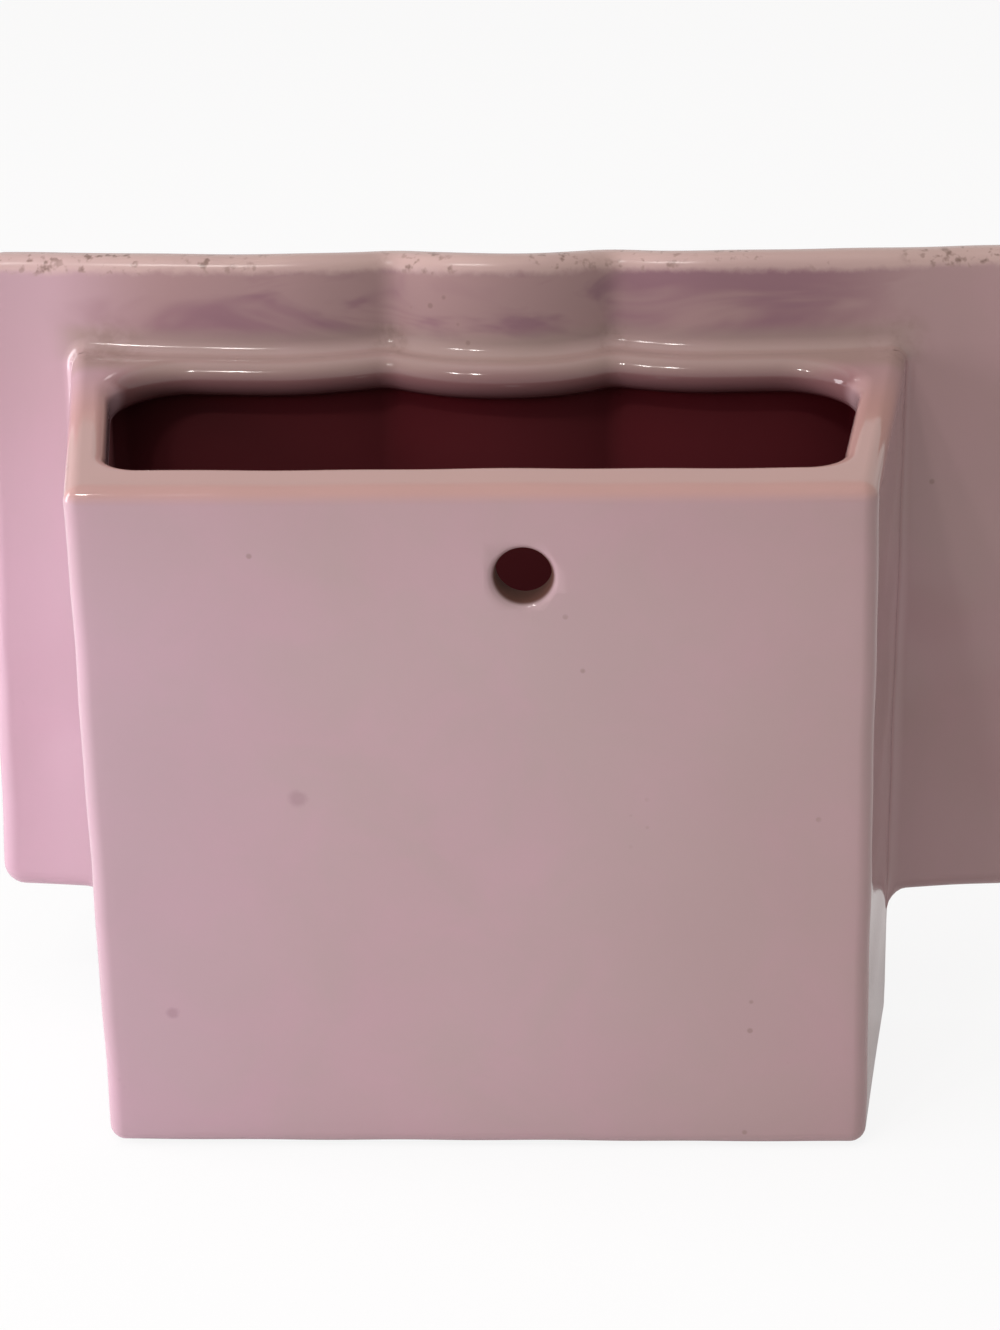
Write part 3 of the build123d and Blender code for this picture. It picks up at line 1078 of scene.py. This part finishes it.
def pink_glaze(scene):
    """The glossy pink glaze, which pools, clouds and thins over the rims, with painted light and shade."""
    ready = bpy.data.materials.get("pink_glaze_fired")
    if ready:
        return ready
    shades, places, grain, share = scene.glaze_colours, GlazePlaces, GlazeGrain, GlazeShares
    pocket, panel = scene.pocket_sizes, scene.panel_sizes
    refraction = 1.5
    shader = Shader(bpy.data.materials.new("pink_glaze_fired"))
    where = shader.node("ShaderNodeTexCoord")["Object"]
    split = shader.node("ShaderNodeSeparateXYZ", {}, {0: where})
    x, y, z = split["X"], split["Y"], split["Z"]
    # The hollow attribute holds the painted shade inside the pocket.
    hollow, room_side = shader.attribute("hollow"), shader.attribute("room_side")

    front_half = pocket.back_width / 2 + pocket.depth * tan(pocket.flare)
    across = x - (pocket.middle - panel.off_middle)
    past = abs(x - pocket.middle) - front_half
    over_ledge = z - pocket.rim_level
    level = over_ledge * cos(panel.lean) - (y + pocket.depth) * sin(panel.lean)
    rear_side = 1 - room_side

    broad, middling, fine, crumbs, patches, pit_patches, wave = (
        shader.clouds(where, **settings) for settings in (
            grain.broad, grain.middling, grain.fine, grain.crumbs, grain.patches, grain.pit_patches,
            grain.wave))
    drawn_out = shader.clouds(shader.vector("MULTIPLY", where, grain.drawn), **grain.drawn_out)
    fine_waver, middling_waver = fine - grain.even, middling - grain.even

    thin = (broad * 0.5 + middling * 0.5).ramp(*grain.grey)
    glaze = shader.mixed(thin * share.grey, tuple(shades.pink), tuple(shades.grey))

    def laid_over(mask, shade):
        """The glaze so far, with another shade laid over it where the mask is 1."""
        return shader.mixed(mask, glaze, tuple(shade))

    # Painted light: lilac towards the wing on the left, where the light falls.
    glaze = laid_over(across.ramp(*places.lilac_light_across) * share.lilac_light, shades.lilac_light)
    # Painted shade: mauve towards the wing on the right and up the panel's lean, away from the light.
    glaze = laid_over(across.ramp(*places.mauve_shade_across) * share.mauve_shade_across, shades.mauve_shade)
    glaze = laid_over(level.ramp(*places.mauve_shade_level) * share.mauve_shade_level, shades.mauve_shade)

    # Painted shade: above the ledge, behind the pocket, where the pocket keeps the low light off.
    above = over_ledge.ramp(*places.above_height) * past.ramp(*places.above_past) * rear_side
    glaze = laid_over(above * share.mauve_shade_above, shades.mauve_shade)
    # Painted shade in cloudy patches above the ledge, partly the glaze's own clouds.
    glaze = laid_over(above * drawn_out.ramp(*grain.cloud_and_shade) * share.cloud_and_shade, shades.cloud_and_shade)

    on_ledge = over_ledge.ramp(*places.ledge_height) * y.ramp(*places.ledge_depth)
    glaze = laid_over(on_ledge * share.ledge, shades.tan)
    # Painted shade: the lip in front of the slot darkens down its roll towards the hollow.
    lip = over_ledge.ramp(*places.lip_top) * over_ledge.ramp(*places.lip_foot)
    lip = lip * y.ramp(*places.lip_depth) * past.ramp(*places.lip_past) * rear_side
    glaze = laid_over(lip * share.lip, shades.lip_shade)
    cove = over_ledge.ramp(*places.cove_top) * over_ledge.ramp(*places.cove_foot) * rear_side
    cove = cove * y.ramp(*places.cove_depth) * past.ramp(*places.cove_past)
    glaze = laid_over(cove * (share.cove + middling * share.cove_cloud), shades.sand)

    band = level - (panel.rise - panel.rim * places.worn_rims)
    worn = (band + (fine_waver + middling_waver) * places.worn_waver).ramp(*places.worn_level)
    glaze = laid_over(worn * share.worn, shades.pale)

    def near(base, offset, reach):
        """A round patch beside a base, full at its core and gone at its reach, the same on both sides."""
        folded = shader.node("ShaderNodeCombineXYZ", {}, {"X": abs(across), "Y": y, "Z": z})["Vector"]
        place = Vector(base) + Vector(offset)
        away = shader.vector("DISTANCE", folded, place, output="Value")
        return away.ramp(reach, reach * places.stain_core)

    crease = near((panel.crease_spacing / 2, -pocket.depth, pocket.rim_level), *places.crease_stain)
    corner = near((front_half, -pocket.depth, pocket.rim_level), *places.corner_stain)
    crumbly = (middling * (1 - share.stain_crumbs) + crumbs * share.stain_crumbs).ramp(*grain.stain)
    stains = (crease + corner * share.corner_stain) * crumbly * rear_side
    glaze = laid_over(stains * share.stain, shades.stain)

    flecks = crumbs.ramp(*grain.fleck) * patches.ramp(*grain.fleck_patch) * worn
    glaze = laid_over(flecks * share.fleck, shades.stain)
    cells = {"Vector": where, "Scale": grain.pits_to_the_metre}
    spots = shader.node("ShaderNodeTexVoronoi", {"feature": "F1"}, cells)["Distance"]
    pits = spots.ramp(*grain.pit) * pit_patches.ramp(*grain.pit_patch)
    glaze = laid_over(pits * share.pit, shades.stain)
    # The smudges are marks on the back, in the same dark colour as the clouds of shade.
    for place, reach in places.smudges:
        away = shader.vector("DISTANCE", where, place, output="Value") + fine_waver * places.smudge_waver
        glaze = laid_over(away.ramp(reach, reach * places.smudge_core) * share.smudge, shades.cloud_and_shade)

    flat = shader.node("ShaderNodeCombineXYZ", {}, {"X": x, "Z": z})["Vector"]
    outside_hole = shader.vector("LENGTH", flat, output="Value") - pocket.hole
    bare = outside_hole.ramp(*places.bare_edge) * y.ramp(*places.bare_depth) * (1 - hollow)
    glaze = laid_over(bare * share.bare, shades.ochre)
    # Painted shade: deep maroon inside the pocket, where little light reaches.
    glaze = laid_over(hollow, shades.hollow_shade)

    relief, rough = GlazeRelief, GlazeRoughness
    height = wave * relief.wave + middling * relief.middling + fine * relief.fine
    height = height - flecks * relief.fleck - stains * relief.stain
    bump = shader.node("ShaderNodeBump", {}, {
        "Strength": relief.strength, "Distance": relief.distance, "Height": height})["Normal"]
    roughness = rough.clean + worn * rough.worn + cove * rough.cove + fine_waver * rough.fine
    roughness = roughness + bare * rough.bare + hollow * rough.hollow
    surface = shader.node("ShaderNodeBsdfPrincipled", {}, {
        "Base Color": glaze, "Roughness": roughness, "Normal": bump, "IOR": refraction,
    })
    shader.node("ShaderNodeOutputMaterial", {}, {"Surface": surface["BSDF"]})
    return shader.owner


class StageSettings(bpy.types.PropertyGroup):
    """The camera and the studio."""

    focal: FloatProperty(name="Focal length", description="Focal length of the camera, in millimetres",
                         default=101.67, min=10.0)
    pitch: angle("Pitch", "How far the camera looks down", 24.74)
    yaw: angle("Yaw", "How far the camera stands to one side", -2.91)
    roll: angle("Roll", "How far the camera is tilted", -1.36)
    place: FloatVectorProperty(name="Place", description="Place of the ledge's middle before the camera",
                               default=(-0.00446, -0.02487, 0.5316), size=3, unit="LENGTH")
    world_light: FloatProperty(name="World light", description="Strength of the even light all round",
                               default=0.36, min=0.0)
    floor_shadow: FloatProperty(name="Floor shadow", description="How much of its shadow the floor keeps",
                                default=0.12, min=0.0, max=1.0)


class VASE_OT_stage(bpy.types.Operator):
    """Sets up the floor, the soft studio light and the camera."""

    bl_idname = "vase.stage"
    bl_label = "Stage"

    # Each lamp's name, place, size, power in watts and colour, and whether the gloss mirrors it.
    lamps = (
        ("window", (0.78, 0.36, 0.02), (0.75, 0.75), 8.4, (0.96, 0.90, 1.0), False),
        ("ceiling", (0.05, 0.10, 1.1), (0.9, 0.9), 4.6, (1.0, 0.94, 0.89), False),
        ("edge_strip", (0.70, -0.10, 0.05), (0.25, 0.6), 3.6, (1.0, 0.96, 1.0), True),
        ("left_bulb", (0.46, 0.55, 0.95), (0.07, 0.07), 1.1, (1.0, 0.97, 0.93), True),
        ("right_bulb", (0.27, 0.58, 0.97), (0.07, 0.07), 1.1, (1.0, 0.97, 0.93), True),
    )
    floor_size = 6.0
    floor_gap = 0.0003
    floor_in_gloss = 0.2
    world_in_gloss = 0.6
    floor_colour = (0.86, 0.86, 0.86)
    world_colour = (1.0, 0.94, 0.91)
    white = (1.0, 1.0, 1.0)
    sensor_millimetres = 36
    nearest_seen = 0.01

    def camera(self, context):
        """A camera behind the vase, worked out in axes turned half round, in which it stands in front."""
        stage, pocket = context.scene.stage_settings, context.scene.pocket_sizes
        turned = (Matrix.Rotation(stage.roll, 3, "Z") @ Matrix.Rotation(stage.pitch, 3, "X")
                  @ Matrix(((1, 0, 0), (0, 0, -1), (0, 1, 0))) @ Matrix.Rotation(stage.yaw, 3, "Z"))
        to_vase = Matrix(((-1, 0, 0), (0, -1, 0), (0, 0, 1)))
        eye = to_vase @ (-(turned.transposed() @ Vector(stage.place)))
        eye += Vector((pocket.middle, 0, pocket.rim_level))
        axes = [to_vase @ turned.row[0], to_vase @ -turned.row[1], to_vase @ -turned.row[2]]
        bpy.ops.object.camera_add()
        camera = context.object
        camera.name = "camera"
        camera.data.sensor_width = self.sensor_millimetres
        camera.data.lens = stage.focal
        camera.data.clip_start = self.nearest_seen
        camera.matrix_world = Matrix.Translation(eye) @ Matrix(axes).transposed().to_4x4()
        context.scene.camera = camera

    def lamp(self, name, place, size, power, shade, mirrored):
        """A soft lamp that looks at the vase, and may be mirrored in its gloss."""
        bpy.ops.object.light_add(type="AREA", location=place)
        lamp = bpy.context.object
        lamp.name = name
        lamp.data.shape = "RECTANGLE"
        lamp.data.size, lamp.data.size_y = size
        lamp.data.energy = power
        lamp.data.color = shade
        lamp.visible_glossy = mirrored
        lamp.rotation_euler = (-Vector(place)).to_track_quat("-Z", "Y").to_euler()

    def seen(self, shader, in_gloss):
        """1 for rays that meet the background straight or through glass, and a share of that in gloss."""
        rays = shader.node("ShaderNodeLightPath")
        mirrored = rays["Is Glossy Ray"] * in_gloss
        return (rays["Is Camera Ray"] + mirrored + rays["Is Transmission Ray"]).clamped()

    def floor(self, context):
        """A wide pale floor just under the vase, which shows white and keeps a little of its shadow."""
        stage, pocket = context.scene.stage_settings, context.scene.pocket_sizes
        floor_level = pocket.rim_level - pocket.height - self.floor_gap
        bpy.ops.mesh.primitive_plane_add(size=self.floor_size, location=(0, 0, floor_level))
        floor = context.object
        floor.name = "floor"
        shader = Shader(bpy.data.materials.new("studio_floor"))
        matte = shader.node("ShaderNodeBsdfDiffuse", {}, {"Color": self.floor_colour})["BSDF"]
        white = shader.node("ShaderNodeEmission", {}, {"Color": self.white, "Strength": 1.0})["Emission"]
        share = self.seen(shader, self.floor_in_gloss) * (1 - stage.floor_shadow)
        mix = shader.node("ShaderNodeMixShader", {}, {0: share, 1: matte, 2: white})["Shader"]
        shader.node("ShaderNodeOutputMaterial", {}, {"Surface": mix})
        floor.data.materials.append(shader.owner)

    def world(self, context):
        """Even light all round, which shows as a white background."""
        context.scene.world = bpy.data.worlds.new("studio")
        shader = Shader(context.scene.world)
        strength = context.scene.stage_settings.world_light
        light, white = (
            shader.node("ShaderNodeBackground", {}, {"Color": tint, "Strength": power})["Background"]
            for tint, power in ((self.world_colour, strength), (self.white, 1.0)))
        share = self.seen(shader, self.world_in_gloss)
        mix = shader.node("ShaderNodeMixShader", {}, {0: share, 1: light, 2: white})["Shader"]
        shader.node("ShaderNodeOutputWorld", {}, {"Surface": mix})

    def execute(self, context):
        deselect_all()
        self.camera(context)
        self.floor(context)
        for lamp in self.lamps:
            self.lamp(*lamp)
        self.world(context)
        context.scene.view_settings.view_transform = "Standard"
        return {"FINISHED"}


class VASE_PT_panel(bpy.types.Panel):
    """Lists the pieces in the sidebar."""

    bl_label = "Wall vase"
    bl_idname = "VASE_PT_panel"
    bl_space_type = "VIEW_3D"
    bl_region_type = "UI"
    bl_category = "Wall vase"

    def draw(self, context):
        for operator in operators:
            self.layout.operator(operator.bl_idname)


groups = {
    "pocket_sizes": PocketSizes,
    "panel_sizes": PanelSizes,
    "glaze_colours": GlazeColours,
    "stage_settings": StageSettings,
}
operators = (VASE_OT_pocket, VASE_OT_panel, VASE_OT_coves, VASE_OT_stage)


def register():
    for kind in (*groups.values(), *operators, VASE_PT_panel):
        bpy.utils.register_class(kind)
    for name, group in groups.items():
        setattr(bpy.types.Scene, name, PointerProperty(type=group))


def unregister():
    for name in groups:
        delattr(bpy.types.Scene, name)
    for kind in (VASE_PT_panel, *reversed(operators), *reversed(groups.values())):
        bpy.utils.unregister_class(kind)


def main():
    register()
    bpy.ops.vase.pocket()
    bpy.ops.vase.panel()
    bpy.ops.vase.coves()
    bpy.ops.vase.stage()


if __name__ == "__main__":
    main()
